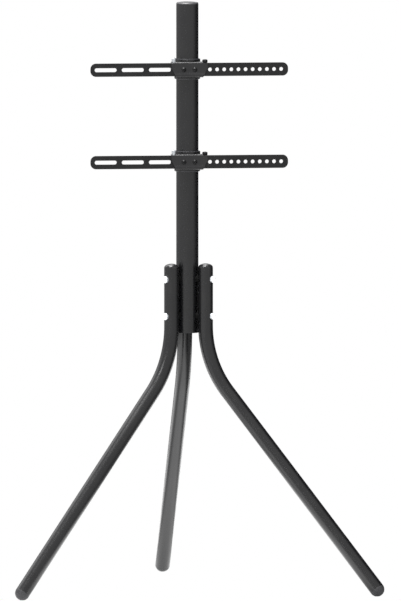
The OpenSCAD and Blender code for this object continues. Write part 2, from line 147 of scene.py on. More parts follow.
# The same plate, greyer and more metallic, on the turned pins and punched washers.
greyer_zinc = finish("bare_zinc_plate", "#a9adb1", "#c2c5c8", (0.32, 0.42), 4, 0.7, 0.004, Metallic=0.9)
# Blackened and oiled steel: the screws that show on the covers.
black_oxide = finish("black_oxide_steel", "#060607", "#0c0c0d", (0.36, 0.46), 4, 0.8, 0.004,
                     **{"Specular IOR Level": 0.22})
finishes = (powder_coat, arm_coat, cap_plastic, cap_plastic_with_painted_highlight, saddle_plastic_painted_shade, foot_plastic,
            liner_plastic, zinc_plate, greyer_zinc, black_oxide)
print("finishes:", ", ".join(m.name for m in finishes))

# %% [markdown]
# ## From a shape to a finished piece
# A modifier is a recipe that Blender runs again whenever it draws. A finished piece has to be a plain
# mesh at the origin, so each recipe is run once, its result is kept, and the recipe is taken away. The
# piece is then tied to the body that carries it, and it takes the place of the solid that it shows.

# %% Keeping a result and tying a piece to its body
def new_object(name, mesh):
    """An object in the scene that shows the mesh."""
    made = bpy.data.objects.new(name, mesh)
    bpy.context.scene.collection.objects.link(made)
    return made


def keep_result(piece):
    """Replaces a piece's mesh by what its modifiers make of it, and drops the modifiers."""
    done = piece.evaluated_get(bpy.context.evaluated_depsgraph_get())
    mesh = bpy.data.meshes.new_from_object(done)
    piece.modifiers.clear()
    piece.data = mesh
    mesh.name = piece.name


def even_shading(piece):
    """Shades the mesh smooth, with the flat faces left flat and true corners left sharp."""
    piece.data.shade_smooth()
    piece.data.set_sharp_from_angle(angle=math.radians(42))
    weighted = piece.modifiers.new("Even shading", "WEIGHTED_NORMAL")
    weighted.keep_sharp = True
    keep_result(piece)


def tie(piece, body, slot, *stands_for):
    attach(piece, body)
    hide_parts(*stands_for)
    print(f"{piece.name}: {len(piece.data.polygons)} faces on {body}, for {', '.join(stands_for)}")


# %% [markdown]
# ## Geometry Nodes, set by name
# A tree's inputs are named sizes, such as a radius or a pitch. Blender stores them on the modifier
# under a code for each socket, so one function looks the code up by name, sets the value before the
# tree first runs, and keeps the result as a mesh.

# %% A tree with named inputs, and growing a piece from it
def new_tree(name, inputs):
    """An empty tree with a geometry input, the named inputs, and a geometry output."""
    tree = bpy.data.node_groups.new(name, "GeometryNodeTree")
    tree.is_modifier = True
    tree.interface.new_socket("Geometry", in_out="INPUT", socket_type="NodeSocketGeometry")
    for label, kind in inputs.items():
        tree.interface.new_socket(label, in_out="INPUT", socket_type="NodeSocket" + kind)
    tree.interface.new_socket("Geometry", in_out="OUTPUT", socket_type="NodeSocketGeometry")
    return tree, add_node(tree, "NodeGroupInput").outputs


def close_tree(tree, geometry, material):
    """The end of every tree: real geometry, its material, and the output."""
    real = add_node(tree, "GeometryNodeRealizeInstances", {"Geometry": geometry})
    painted = add_node(tree, "GeometryNodeSetMaterial", {
        "Geometry": real.outputs["Geometry"], "Material": material})
    add_node(tree, "NodeGroupOutput", {"Geometry": painted.outputs["Geometry"]})
    print(tree.name, "has", len(tree.nodes), "nodes")


def grow(piece, tree, values):
    """Adds the tree to a piece with its inputs set."""
    modifier = piece.modifiers.new(tree.name, "NODES")
    modifier.node_group = tree
    codes = {s.name: s.identifier for s in tree.interface.items_tree if s.in_out == "INPUT"}
    for label, value in values.items():
        modifier[codes[label]] = value


# %% [markdown]
# ## Column and legs: bent tube
# The column is a straight length of 48 mm tube, and each leg is 31.8 mm tube, bent cold round a former.
# Both follow one rule, a round section carried along a line, so they could be drawn as curves with a
# bevel, or spun and bridged by hand. A tree that sweeps a circle along a path makes all four from one
# rule, and a wall is then grown inwards, as a real tube has one.

# %% The sweep
sweep, given = new_tree("swept_tube", {"Radius": "Float", "Sides": "Int", "Finish": "Material"})
path = add_node(sweep, "GeometryNodeMeshToCurve", {"Mesh": given["Geometry"]})
circle = add_node(sweep, "GeometryNodeCurvePrimitiveCircle", {
    "Resolution": given["Sides"], "Radius": given["Radius"]})
tube = add_node(sweep, "GeometryNodeCurveToMesh", {
    "Curve": path.outputs["Curve"], "Profile Curve": circle.outputs["Curve"]})
smooth = add_node(sweep, "GeometryNodeSetShadeSmooth", {"Geometry": tube.outputs["Mesh"]})
close_tree(sweep, smooth.outputs["Geometry"], given["Finish"])


def swept_tube(name, points, radius, wall, sides=64):
    """A tube along a line of points, with its wall grown inwards."""
    mesh = bpy.data.meshes.new(name)
    mesh.from_pydata(points, [(i, i + 1) for i in range(len(points) - 1)], [])
    piece = new_object(name, mesh)
    grow(piece, sweep, {"Radius": radius, "Sides": sides, "Finish": powder_coat})
    keep_result(piece)
    shell = bmesh.new()
    shell.from_mesh(piece.data)
    bmesh.ops.recalc_face_normals(shell, faces=shell.faces)
    first = shell.faces[:][0]
    outward = first.calc_center_median() - Vector(points[0])
    if first.normal.dot(outward - outward.project(Vector(points[1]) - Vector(points[0]))) < 0:
        bmesh.ops.reverse_faces(shell, faces=shell.faces)
    shell.to_mesh(piece.data)
    shell.free()
    solid = piece.modifiers.new("Wall", "SOLIDIFY")
    solid.thickness, solid.offset, solid.use_even_offset = wall, -1, True
    even_shading(piece)
    return piece


# %% The column
TUBE_WALL = 2 * MM
low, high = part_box("column_tube")
column_r = (high.x - low.x) / 2
axis = Vector(((low.x + high.x) / 2, high.y - column_r, 0))
column = swept_tube("column_straight_tube", [axis + Vector((0, 0, z)) for z in (low.z, high.z)],
                    column_r, TUBE_WALL, sides=96)
tie(column, "stand", "powder_coat", "column_tube")
print(f"column {column_r / MM:.1f} mm in radius, axis at y {axis.y / MM:.2f} mm")

# %% [markdown]
# ## A leg's centre line
# A leg runs straight down beside the column, bends outwards through 40 degrees on a radius of 220 mm,
# and runs straight to its foot. The line could be drawn by eye. Laying it out as a bender does, from
# the end of the straight, the radius and the angle, gives the same leg three times, and the printed
# difference from the solid shows that it lies where the frame says.

# %% The legs
LEG_BEND_RADIUS = 220 * MM
LEG_BEND_TOP = 574 * MM
LEG_SPLAY = math.radians(40)
BEND_STEPS = 30
FOOT_FLAT = 0.6 * MM
leg_axes = {}


def leg_line(side):
    """Points down a leg's centre line, and the direction that it leans in."""
    low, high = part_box(f"{side}_leg_top_cap")
    top = (low + high) / 2
    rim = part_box(f"{side}_leg_tube")[1].z
    out = Vector((top.x - axis.x, top.y - axis.y, 0))
    start = out.length
    out.normalize()
    leg_axes[side] = (start, out)
    turn = [LEG_SPLAY * i / BEND_STEPS for i in range(BEND_STEPS + 1)]
    line = [(start, rim)] + [
        (start + LEG_BEND_RADIUS * (1 - math.cos(a)), LEG_BEND_TOP - LEG_BEND_RADIUS * math.sin(a))
        for a in turn]
    leg_r = (high - low).x / 2
    x, z = line[-1]
    foot = leg_r - FOOT_FLAT
    line.append((x + (z - foot) * math.tan(LEG_SPLAY), foot))
    return [axis + out * x + Vector((0, 0, z)) for x, z in line], leg_r


for side in SIDES:
    line, leg_r = leg_line(side)
    leg = swept_tube(f"{side}_leg_bent_tube", line, leg_r, TUBE_WALL)
    tie(leg, "stand", "powder_coat", f"{side}_leg_tube")
    made = [min(v.co.x for v in leg.data.vertices), max(v.co.x for v in leg.data.vertices)]
    asked = [corner.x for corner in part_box(f"{side}_leg_tube")]
    print(side, "leg differs in x by", [round((a - b) / MM, 2) for a, b in zip(made, asked)], "mm")

# %% [markdown]
# ## Sheet metal and mouldings with softened edges
# The collars, covers, liners, saddles and feet have the right shapes already, but a solid's corners
# are perfectly sharp, and no coated or moulded corner is: the powder draws back to a radius of about
# half a millimetre, and that radius is what catches the light. The pieces could be modelled again.
# Copying the solid, welding its triangles into clean faces and rounding the corners keeps every fit.

# %% A copy with softened edges
def softened_copy(node, name, material, radius_mm, steps=2):
    """A welded copy of a CAD node with its sharp edges rounded."""
    shape = bmesh.new()
    shape.from_mesh(nodes[node].data)
    bmesh.ops.remove_doubles(shape, verts=shape.verts, dist=0.002 * MM)
    bmesh.ops.dissolve_limit(shape, angle_limit=math.radians(0.4), verts=shape.verts, edges=shape.edges)
    mesh = bpy.data.meshes.new(name)
    shape.to_mesh(mesh)
    shape.free()
    mesh.materials.append(material)
    piece = new_object(name, mesh)
    rounding = piece.modifiers.new("Rounded edges", "BEVEL")
    rounding.width, rounding.segments = radius_mm * MM, steps
    rounding.limit_method, rounding.angle_limit = "ANGLE", math.radians(35)
    rounding.use_clamp_overlap = True
    keep_result(piece)
    even_shading(piece)
    return piece


# %% Collars and covers
# Each collar is two die-cast halves that clamp the column, and each cover is a sheet bent over the arm.
for level in LEVELS:
    for node, name, radius in (
            ("collar_front", "collar_front_half", 0.6), ("collar_rear", "collar_rear_half", 0.6),
            ("cover", "cover_sheet", 0.45)):
        piece = softened_copy(f"{level}_{node}", f"{level}_{name}", powder_coat, radius)
        tie(piece, f"{level}_carrier", "powder_coat", f"{level}_{node}")
    liner = softened_copy(f"{level}_liner", f"{level}_liner_sleeve", liner_plastic, 0.25)
    tie(liner, f"{level}_sleeve", "liner_plastic", f"{level}_liner")

# %% Saddles and washers
for side in SIDES:
    # The saddles' near-black is painted shade for the gap between each leg and the column.
    saddle = softened_copy(f"{side}_leg_saddles", f"{side}_leg_saddle_pair", saddle_plastic_painted_shade, 0.3)
    tie(saddle, "stand", "cap_plastic", f"{side}_leg_saddles")
    washer = softened_copy(f"{side}_leg_washers", f"{side}_leg_washer_pair", greyer_zinc, 0.2)
    tie(washer, "stand", "zinc_plate", f"{side}_leg_washers")

# %% [markdown]
# ## Turned shapes
# Caps, screws, nuts and pins all come off a lathe or out of a round mould, so one function spins a
# list of rows. A row is a height and a radius, and the radius may change round the piece: six flats
# make a socket or a nut, a saw-tooth makes a knurl, and a tooth that climbs one pitch each turn makes
# a screw thread. A modifier could spin a profile, but it can't change the radius as it goes.

# %% The lathe
def turned(rows, sides, ring=False):
    """A mesh spun from rows of height and radius. A ring joins its last row to its first."""
    shape = bmesh.new()
    angles = [2 * math.pi * i / sides for i in range(sides)]
    loops = []
    for z, radius in rows:
        size = [radius(a, z) if callable(radius) else radius for a in angles]
        loops.append([shape.verts.new((r * math.cos(a), r * math.sin(a), z))
                      for a, r in zip(angles, size)])
    pairs = list(zip(loops, loops[1:])) + ([(loops[-1], loops[0])] if ring else [])
    for lower, upper in pairs:
        for i in range(sides):
            j = (i + 1) % sides
            shape.faces.new((lower[i], lower[j], upper[j], upper[i]))
    if not ring:
        shape.faces.new(reversed(loops[0]))
        shape.faces.new(loops[-1])
    bmesh.ops.recalc_face_normals(shape, faces=shape.faces)
    return shape


def six_flats(across):
    """The radius of a hexagon, given its size across the flats."""
    return lambda a, z: across / 2 / math.cos((a % (math.pi / 3)) - math.pi / 6)


THREAD_DEPTH = 0.61  # of the pitch


def thread(outer, pitch):
    """The radius of a screw thread, which climbs one pitch each turn."""
    deep = THREAD_DEPTH * pitch
    return lambda a, z: outer - deep * abs(2 * ((z / pitch - a / (2 * math.pi)) % 1) - 1)


def knurl(outer, teeth, depth):
    """The radius of a head with fine straight teeth round its side."""
    return lambda a, z: outer - depth * abs(2 * ((a * teeth / (2 * math.pi)) % 1) - 1)


def crown(outer, height, corner, inner, steps=7):
    """Rows over a domed head: a rounded corner, then a crown that meets it smoothly, in to a radius."""
    big = ((outer - corner) ** 2 + height ** 2 - corner ** 2) / (2 * (height - corner))
    meet = math.atan2(big - height, outer - corner)
    last = math.acos(inner / big)
    first = [(corner * math.sin(a), outer - corner + corner * math.cos(a))
             for a in (meet * i / steps for i in range(steps))]
    rest = [(height - big + big * math.sin(a), big * math.cos(a))
            for a in (meet + (last - meet) * i / steps for i in range(steps + 1))]
    return first + rest


print("an M8 thread is cut", round(THREAD_DEPTH * 1.25, 2), "mm deep")

# %% [markdown]
# ## Screws
# The legs are held by M8 button-head bolts, the covers by M6 ones and the collars by M5 cap screws.
# All are a head with a hexagon socket over a threaded shank. They could be copied from a parts
# library as pictures, but a socket and a thread that are really cut catch the light from any side.

# %% Rows for a shank, a socket and a head
def shank_rows(radius, length, pitch, threaded):
    """Rows from a screw's tip up to its head's seat at height 0."""
    steps = int(threaded / pitch * 6)
    start = -length + pitch / 2
    rows = [(-length, radius - pitch)]
    rows += [(start + threaded * i / steps, thread(radius, pitch)) for i in range(steps + 1)]
    return rows + [(start + threaded + pitch / 2, radius), (0, radius)]


def socket_rows(top, across, depth):
    """Rows down into a hexagon socket with a small lead-in, to its drilled bottom."""
    lead = 0.15 * MM
    return [(top, six_flats(across + 2 * lead)), (top - lead, six_flats(across)),
            (top - depth, six_flats(across)), (top - depth, 0.6 * across / 2),
            (top - depth - 0.12 * across, 0.1 * across)]


def button_screw(radius, length, pitch, threaded, head_r, head_h, across):
    """A screw with a low domed head, its seat at height 0 and its head above."""
    edge = 0.2 * MM
    rows = shank_rows(radius, length, pitch, threaded) + [(0, head_r - edge), (edge / 2, head_r)]
    rows += [(z + edge, r) for z, r in crown(head_r, head_h - edge, head_h * 0.35, across * 0.68)]
    return turned(rows + socket_rows(head_h, across, head_h * 0.6), 48)


def cap_screw(radius, length, pitch, threaded, head_r, head_h, across):
    """A screw with a tall knurled head, its seat at height 0 and its head above."""
    edge = 0.35 * MM
    teeth = knurl(head_r, 24, 0.16 * MM)
    rows = shank_rows(radius, length, pitch, threaded)
    rows += [(0, head_r - edge), (edge, teeth), (head_h - 2 * edge, teeth),
             (head_h - edge / 2, head_r - edge), (head_h, head_r - 2 * edge)]
    return turned(rows + socket_rows(head_h, across, head_h * 0.5), 144)


def fastener(name, shape):
    """An object that the trees copy from. It's removed once all the screws are placed."""
    mesh = bpy.data.meshes.new(name)
    shape.to_mesh(mesh)
    shape.free()
    made = new_object(name, mesh)
    even_shading(made)
    print(name, "has", len(made.data.polygons), "faces")
    return made


M8_BUTTON = dict(radius=4 * MM, length=45 * MM, pitch=1.25 * MM, threaded=22 * MM,
                 head_r=7 * MM, head_h=4.4 * MM, across=5 * MM)
M6_BUTTON = dict(radius=3 * MM, length=11 * MM, pitch=1 * MM, threaded=8 * MM,
                 head_r=5.25 * MM, head_h=3.3 * MM, across=4 * MM)
M5_CAP = dict(radius=2.5 * MM, length=14.6 * MM, pitch=0.8 * MM, threaded=9 * MM,
              head_r=4.25 * MM, head_h=5 * MM, across=4 * MM)
leg_bolt = fastener("m8_button_bolt", button_screw(**M8_BUTTON))
cover_screw = fastener("m6_button_screw", button_screw(**M6_BUTTON))
collar_bolt = fastener("m5_cap_screw", cap_screw(**M5_CAP))

# %% Nuts
# A nut's corners are turned off at both faces, and its bore opens a little where the bolt goes in.
NUT_ACROSS, NUT_H = 8 * MM, 4 * MM
NUT_BORE, NUT_MOUTH, MOUTH_DEPTH = 2.55 * MM, 2.8 * MM, 0.3 * MM
NUT_CORNER, NUT_FACE, FACE_BEVEL = 4.62 * MM, 4.2 * MM, 0.25 * MM


def nut_row(z, limit):
    """A row that follows the nut's flats, out to a limiting radius."""
    flats = six_flats(NUT_ACROSS)
    return (z, lambda a, z: min(flats(a, z), limit))


collar_nut = fastener("m5_hexagon_nut", turned([
    (0, NUT_BORE), nut_row(0, NUT_FACE), nut_row(FACE_BEVEL, NUT_CORNER),
    nut_row(NUT_H - FACE_BEVEL, NUT_CORNER), nut_row(NUT_H, NUT_FACE),
    (NUT_H, NUT_MOUTH), (NUT_H - MOUTH_DEPTH, NUT_BORE)], 72, ring=True))

# %% [markdown]
# ## Placing the screws
# Every set of screws is the same shape at several places, each pointing its own way. Copies could be
# made one by one, but a tree that puts a fastener on every point, turned to face that point's
# direction, keeps the shape in one place. Each set becomes one mesh, since it rides on one body.

# %% A tree that puts a fastener on each point
fasten, given = new_tree("fasteners_on_points", {"Fastener": "Object", "Finish": "Material"})
facing = add_node(fasten, "GeometryNodeInputNamedAttribute", {"Name": "facing"}, data_type="FLOAT_VECTOR")
turn = add_node(fasten, "FunctionNodeAxesToRotation", {
    "Primary Axis": facing.outputs["Attribute"], "Secondary Axis": (0, 0, 1)},
    primary_axis="Z", secondary_axis="X")
source = add_node(fasten, "GeometryNodeObjectInfo", {"Object": given["Fastener"]})
copies = add_node(fasten, "GeometryNodeInstanceOnPoints", {
    "Points": given["Geometry"], "Instance": source.outputs["Geometry"],
    "Rotation": turn.outputs["Rotation"]})
close_tree(fasten, copies.outputs["Instances"], given["Finish"])


def fasteners(name, what, material, seats):
    """One mesh with a fastener at each seat, a place and the direction that its head faces."""
    mesh = bpy.data.meshes.new(name)
    mesh.from_pydata([place for place, _ in seats], [], [])
    directions = mesh.attributes.new("facing", "FLOAT_VECTOR", "POINT")
    directions.data.foreach_set("vector", [c for _, way in seats for c in way])
    piece = new_object(name, mesh)
    grow(piece, fasten, {"Fastener": what, "Finish": material})
    keep_result(piece)
    return piece


# %% Leg bolts
# The head of a leg bolt sits on its washer, on the side of the leg away from the column.
BOLT_HEIGHTS = (595 * MM, 675 * MM)
WASHER_T = 1.2 * MM
for side in SIDES:
    start, out = leg_axes[side]
    seats = [(axis + out * (start + leg_r + WASHER_T) + Vector((0, 0, z)), out) for z in BOLT_HEIGHTS]
    bolts = fasteners(f"{side}_leg_bolt_pair", leg_bolt, zinc_plate, seats)
    tie(bolts, "stand", "zinc_plate", f"{side}_leg_bolts")

# %% Screws and nuts of the clamps
FRONT, BACK = Vector((0, -1, 0)), Vector((0, 1, 0))
HEAD_GAP = 0.03 * MM  # a hair of air under a cover screw's head


def across_axis(x, y, z, way):
    """A pair of seats at the same distance to each side of the column's axis."""
    return [(Vector((axis.x + side * x, y, z)), way) for side in (-1, 1)]


for level in LEVELS:
    low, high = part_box(f"{level}_collar_rear")
    height = (low.z + high.z) / 2
    low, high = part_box(f"{level}_cover_screws")
    pair = across_axis((high.x - low.x) / 2 - M6_BUTTON["head_r"],
                       low.y + M6_BUTTON["head_h"] - HEAD_GAP, height, FRONT)
    screws = fasteners(f"{level}_cover_screw_pair", cover_screw, black_oxide, pair)
    tie(screws, f"{level}_carrier", "black_oxide", f"{level}_cover_screws")
    low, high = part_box(f"{level}_collar_nuts")
    reach = (high.x - low.x) / 2 - NUT_ACROSS / 2
    pair = across_axis(reach, high.y, height, FRONT)
    nuts = fasteners(f"{level}_collar_nut_pair", collar_nut, zinc_plate, pair)
    tie(nuts, f"{level}_carrier", "zinc_plate", f"{level}_collar_nuts")
    low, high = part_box(f"{level}_collar_bolts")
    pair = across_axis(reach, high.y - M5_CAP["head_h"], height, BACK)
    bolts = fasteners(f"{level}_collar_bolt_pair", collar_bolt, zinc_plate, pair)
    tie(bolts, f"{level}_carrier", "zinc_plate", f"{level}_collar_bolts")

for spare in (leg_bolt, cover_screw, collar_bolt, collar_nut):
    bpy.data.objects.remove(spare)
print("the loose fasteners are put away")

# %% [markdown]
# ## Lock screw and stop pin
# On top of each cover stand a blackened screw that locks the arm against sliding, and a bright pin
# opposite it. Both are turned parts, so they come off the same lathe: the screw with a knurled head
# for a thumb and a socket for a key, the pin with a rolled crown.

# %% Turning and placing one part
LOCK_HEAD_H, LOCK_SHANK_R, LOCK_TIP_R = 5.6 * MM, 3 * MM, 2.2 * MM
LOCK_CROWN_H, LOCK_SOCKET, LOCK_SOCKET_DEPTH = 1.9 * MM, 4 * MM, 3 * MM
PIN_SHOULDER, PIN_CROWN_H = 2.2 * MM, 2.1 * MM


def turned_piece(name, shape, place, material):
    """A finished piece from a turned shape, set down with its foot at a place."""
    mesh = bpy.data.meshes.new(name)
    shape.transform(Matrix.Translation(place))
    shape.to_mesh(mesh)
    shape.free()
    mesh.materials.append(material)
    piece = new_object(name, mesh)
    even_shading(piece)
    return piece


def head_of(node):
    """The radius, the height and the foot of the upright turned part that a box holds."""
    low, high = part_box(node)
    foot = Vector(((low.x + high.x) / 2, (low.y + high.y) / 2, low.z))
    return (high.x - low.x) / 2, high.z - low.z, foot


for level in LEVELS:
    head_r, tall, foot = head_of(f"{level}_lock_screw")
    under = tall - LOCK_HEAD_H
    teeth = knurl(head_r, 30, 0.25 * MM)
    rows = [(0, LOCK_TIP_R), (0.5 * MM, LOCK_SHANK_R), (under, LOCK_SHANK_R), (under, head_r - 0.6 * MM),
            (under + 0.4 * MM, teeth), (tall - LOCK_CROWN_H - 0.1 * MM, teeth)]
    rows += [(z + tall - LOCK_CROWN_H, r)
             for z, r in crown(head_r - 0.25 * MM, LOCK_CROWN_H, 1.2 * MM, 3 * MM)]
    shape = turned(rows + socket_rows(tall, LOCK_SOCKET, LOCK_SOCKET_DEPTH), 120)
    screw = turned_piece(f"{level}_lock_screw_turned", shape, foot, black_oxide)
    tie(screw, f"{level}_lock", "black_oxide", f"{level}_lock_screw")

for level in LEVELS:
    pin_r, tall, foot = head_of(f"{level}_stop_pin")
    rows = [(0, pin_r - 1.2 * MM), (0.2 * MM, pin_r - MM), (PIN_SHOULDER, pin_r - MM),
            (PIN_SHOULDER, pin_r - 0.2 * MM), (PIN_SHOULDER + 0.2 * MM, pin_r),
            (tall - PIN_CROWN_H - 0.05 * MM, pin_r)]
    rows += [(z + tall - PIN_CROWN_H, r) for z, r in crown(pin_r, PIN_CROWN_H, 1.1 * MM, 0.3 * MM)]
    pin = turned_piece(f"{level}_stop_pin_turned", turned(rows, 48), foot, greyer_zinc)
    tie(pin, f"{level}_carrier", "zinc_plate", f"{level}_stop_pin")

# %% [markdown]
# ## Perforated arms
# An arm is a strip of 3 mm steel with rounded ends, punched with long slots on one side and a row of
# round holes on the other, and a long slot in the middle that lets it slide. The holes could be cut
# one by one with booleans. A punching tool works from a pitch and a count, and so does this tree: it
# lays out each outline, fills between them and gives the sheet its thickness.

# %% The outline of a rounded strip, in nodes
punch, given = new_tree("punched_arm", {
    "Length": "Float", "Height": "Float", "Thickness": "Float", "Corner": "Float",
    "Slot Count": "Int", "Slot Length": "Float", "Slot Width": "Float", "Slot Pitch": "Float",
    "Slot Start": "Float", "Hole Count": "Int", "Hole Diameter": "Float", "Hole Pitch": "Float",
    "Hole Start": "Float", "Track Length": "Float", "Track Width": "Float", "Finish": "Material"})


def strip_outline(length, height, radius, round_steps):
    """A rectangle with rounded corners, as a curve."""
    shape = add_node(punch, "GeometryNodeCurvePrimitiveQuadrilateral", {
        "Width": length, "Height": height})
    turn = add_node(punch, "GeometryNodeFilletCurve", {
        "Curve": shape.outputs["Curve"], "Radius": radius, "Count": round_steps}, mode="POLY")
    return turn.outputs["Curve"]


def along(count, start, pitch, outline):
    """Copies of an outline along X, from a start and a pitch."""
    first = add_node(punch, "ShaderNodeCombineXYZ", {"X": start})
    step = add_node(punch, "ShaderNodeCombineXYZ", {"X": pitch})
    line = add_node(punch, "GeometryNodeMeshLine", {
        "Count": count, "Start Location": first.outputs["Vector"], "Offset": step.outputs["Vector"]})
    copies = add_node(punch, "GeometryNodeInstanceOnPoints", {
        "Points": line.outputs["Mesh"], "Instance": outline})
    return copies.outputs["Instances"]


def half_of(value):
    """Just under a half, so that the two arcs of a slot's end never meet in one point."""
    return add_node(punch, "ShaderNodeMath", {0: value, 1: 0.4999}, operation="MULTIPLY").outputs[0]


# %% The punched sheet, in nodes
CORNER_STEPS, SLOT_END_STEPS, HOLE_SIDES = 16, 14, 40
blank = strip_outline(given["Length"], given["Height"], given["Corner"], CORNER_STEPS)
slot = strip_outline(
    given["Slot Length"], given["Slot Width"], half_of(given["Slot Width"]), SLOT_END_STEPS)
track = strip_outline(
    given["Track Length"], given["Track Width"], half_of(given["Track Width"]), SLOT_END_STEPS)
hole = add_node(punch, "GeometryNodeCurvePrimitiveCircle", {
    "Resolution": HOLE_SIDES, "Radius": half_of(given["Hole Diameter"])})
outlines = add_node(punch, "GeometryNodeJoinGeometry")
for curve in (blank, track,
              along(given["Slot Count"], given["Slot Start"], given["Slot Pitch"], slot),
              along(given["Hole Count"], given["Hole Start"], given["Hole Pitch"], hole.outputs["Curve"])):
    punch.links.new(curve, outlines.inputs["Geometry"])
flat = add_node(punch, "GeometryNodeRealizeInstances", {"Geometry": outlines.outputs["Geometry"]})
sheet = add_node(punch, "GeometryNodeFillCurve", {"Curve": flat.outputs["Geometry"]}, mode="NGONS")
thick = add_node(punch, "GeometryNodeExtrudeMesh", {
    "Mesh": sheet.outputs["Mesh"], "Offset": (0, 0, 1), "Offset Scale": given["Thickness"],
    "Individual": False})
under = add_node(punch, "GeometryNodeFlipFaces", {"Mesh": sheet.outputs["Mesh"]})
both = add_node(punch, "GeometryNodeJoinGeometry")
for mesh in (thick.outputs["Mesh"], under.outputs["Mesh"]):
    punch.links.new(mesh, both.inputs["Geometry"])
welded = add_node(punch, "GeometryNodeMergeByDistance", {
    "Geometry": both.outputs["Geometry"], "Distance": 0.001 * MM})
standing = add_node(punch, "GeometryNodeTransform", {
    "Geometry": welded.outputs["Geometry"], "Rotation": (math.radians(90), 0, 0)})
close_tree(punch, standing.outputs["Geometry"], given["Finish"])

# %% The arms
SLOT_LENGTH, SLOT_WIDTH, SLOT_PITCH, SLOT_FIRST = 48 * MM, 8.5 * MM, 59 * MM, 64 * MM
HOLE_DIAMETER, HOLE_PITCH, HOLE_FIRST = 8.2 * MM, 15.5 * MM, 45 * MM
TRACK_LENGTH, TRACK_WIDTH = 61 * MM, 6.6 * MM
SLOT_COUNT, HOLE_COUNT, ARM_CORNER, ARM_EDGE = 3, 11, 12 * MM, 0.45 * MM
for level in LEVELS:
    low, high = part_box(f"{level}_arm")
    arm = new_object(f"{level}_arm_bar", bpy.data.meshes.new(f"{level}_arm_bar"))
    grow(arm, punch, {
        "Length": high.x - low.x, "Height": high.z - low.z, "Thickness": high.y - low.y,
        "Corner": ARM_CORNER, "Slot Count": SLOT_COUNT,
        "Slot Length": SLOT_LENGTH, "Slot Width": SLOT_WIDTH,
        "Slot Pitch": -SLOT_PITCH, "Slot Start": -SLOT_FIRST, "Hole Count": HOLE_COUNT,
        "Hole Diameter": HOLE_DIAMETER, "Hole Pitch": HOLE_PITCH, "Hole Start": HOLE_FIRST,
        "Track Length": TRACK_LENGTH, "Track Width": TRACK_WIDTH, "Finish": arm_coat})
    keep_result(arm)
    arm.data.transform(Matrix.Translation(
        ((low.x + high.x) / 2, high.y, (low.z + high.z) / 2)))
    rounding = arm.modifiers.new("Rounded edges", "BEVEL")
    rounding.width, rounding.segments = ARM_EDGE, 2
    rounding.limit_method, rounding.angle_limit = "ANGLE", math.radians(60)
    keep_result(arm)
    even_shading(arm)
    tie(arm, f"{level}_crossbar", "powder_coat", f"{level}_arm")

# %% [markdown]
# ## Caps and feet
# The open ends of the tubes are closed by moulded plugs. A cap shows a thin rim as wide as the tube
# and a low dome, and a foot is a rounded end with a small flat that stands on the floor. They could
# stay as the solids they are, but the line where plastic meets steel is what the eye looks for. So
# the caps are turned again with a small step under the rim, and the feet get softened edges.

# %% Domed caps
COLUMN_DOME_H, COLUMN_DOME_CORNER = 5.5 * MM, 3.2 * MM
LEG_DOME_H, LEG_DOME_CORNER = 10 * MM, 7.2 * MM


def domed_cap(name, node, outer, dome_h, corner, material):
    """A cap turned about its own centre line: the plug, a step under the rim, and the dome."""
    low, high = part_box(node)
    tall = high.z - low.z
    rim = tall - dome_h
    neck = outer - TUBE_WALL - 0.1 * MM
    wall, step, inset, band = 2.5 * MM, 0.5 * MM, 0.35 * MM, 0.2 * MM
    rows = [(0, neck - wall), (0, neck - 0.4 * MM), (0.8 * MM, neck), (rim, neck), (rim, outer - inset),
            (rim + step, outer - inset), (rim + step + 0.12 * MM, outer)]
    rows += [(z + rim + step + band, r)
             for z, r in crown(outer, dome_h - step - band, corner, 0.5 * MM, steps=12)]
    place = Vector((axis.x, axis.y, low.z)) if node == "column_top_cap" else Vector(
        ((low.x + high.x) / 2, (low.y + high.y) / 2, low.z))
    return turned_piece(name, turned(rows, 72), place, material)


# The column's cap is in the lighter plastic, whose grey is a painted highlight.
cap = domed_cap("column_domed_cap", "column_top_cap", column_r,
                COLUMN_DOME_H, COLUMN_DOME_CORNER, cap_plastic_with_painted_highlight)
tie(cap, "stand", "cap_plastic", "column_top_cap")
for side in SIDES:
    cap = domed_cap(f"{side}_leg_domed_cap", f"{side}_leg_top_cap", leg_r,
                    LEG_DOME_H, LEG_DOME_CORNER, cap_plastic)
    tie(cap, "stand", "cap_plastic", f"{side}_leg_top_cap")

# %% Rounded feet
for side in SIDES:
    foot = softened_copy(f"{side}_leg_foot", f"{side}_leg_rounded_foot", foot_plastic, 0.3)
    tie(foot, "stand", "foot_plastic", f"{side}_leg_foot")

# %% [markdown]
# ## Pieces that keep their solids
# The plug under the column, the threaded inserts inside it and the sleeves inside the legs are right as
# they are, and most of each is out of sight. They only take their finish.

# %% Finishes for the kept solids
kept = {"column_bottom_plug": cap_plastic, "column_thread_inserts": zinc_plate}
kept.update({f"{side}_leg_sleeves": zinc_plate for side in SIDES})
for node, material in kept.items():
    for place in nodes[node].material_slots:
        place.material = material
print("kept as solids:", ", ".join(kept))

# %% [markdown]
# ## The studio
# A black object on white is lit by what it reflects. A white room all round would turn the tubes'
# edges bright, so a photographer hangs black flags behind and beside it, a large soft box over it and
# a small lamp high on its left: the front of each tube reflects the pale room, its far edges the
# flags, its top the soft box, and its underside the floor, whose glow is painted light. The room is a
# sky whose brightness changes smoothly with direction. Only the gloss sees it, and the background stays
# white.

# %% Sky directions, as angles
CAMERA_AZIMUTH = math.radians(-7.05)
world = bpy.data.worlds.new("studio_room")
bpy.context.scene.world = world
world.use_nodes = True
room = world.node_tree
room.nodes.clear()
way = add_node(room, "ShaderNodeTexCoord").outputs["Generated"]
turned_way = add_node(room, "ShaderNodeVectorRotate", {
    "Vector": way, "Angle": -CAMERA_AZIMUTH}, rotation_type="Z_AXIS").outputs["Vector"]
parts = add_node(room, "ShaderNodeSeparateXYZ", {"Vector": turned_way})


def math_node(tree, operation, *values):
    """One arithmetic node. Its inputs are sockets or plain numbers."""
    return add_node(tree, "ShaderNodeMath", dict(enumerate(values)), operation=operation).outputs[0]


